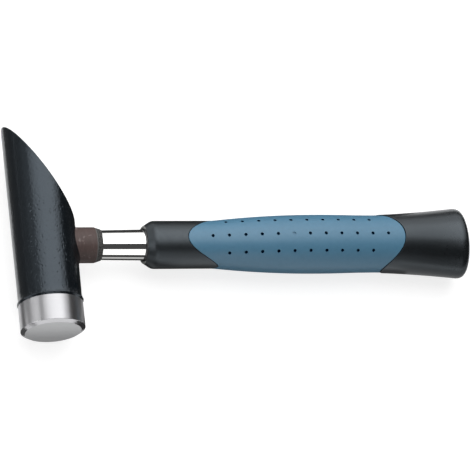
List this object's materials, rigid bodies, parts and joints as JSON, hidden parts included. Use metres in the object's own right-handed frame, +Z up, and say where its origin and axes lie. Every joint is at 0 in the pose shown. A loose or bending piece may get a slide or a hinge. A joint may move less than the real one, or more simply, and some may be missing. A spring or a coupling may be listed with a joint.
{
  "type": "cross-peen hammer",
  "caption": "Hand hammer with a round head, flat striking face and one-sided wedge peen, on a tubular steel handle with a moulded two-tone grip.",
  "frame": {"origin": "centre of the bounding box's underside, with the hammer lying on its side on a flat surface", "axes": "+X along the handle towards the butt, +Y along the head towards the peen, +Z up from the surface"},
  "size_m": [0.2816, 0.1284, 0.0385],
  "materials": {
    "head_steel": "black paint, slightly orange-peeled, with a bare ground striking end",
    "tube_chrome": "polished",
    "plain_steel": "turned",
    "collar_plastic": "brown, satin, a little scuffed",
    "grip_black": "satin black",
    "grip_blue": "satin soft moulding",
    "white_plastic": "plain"
  },
  "bodies": {
    "root": {"hammer_head": "head_steel", "handle_tube": "tube_chrome", "expander_plug": "plain_steel", "collar": "collar_plastic", "grip_core": "grip_black", "grip_sleeve": "grip_blue", "tube_end_plug": "white_plastic"}
  },
  "joints": []
}
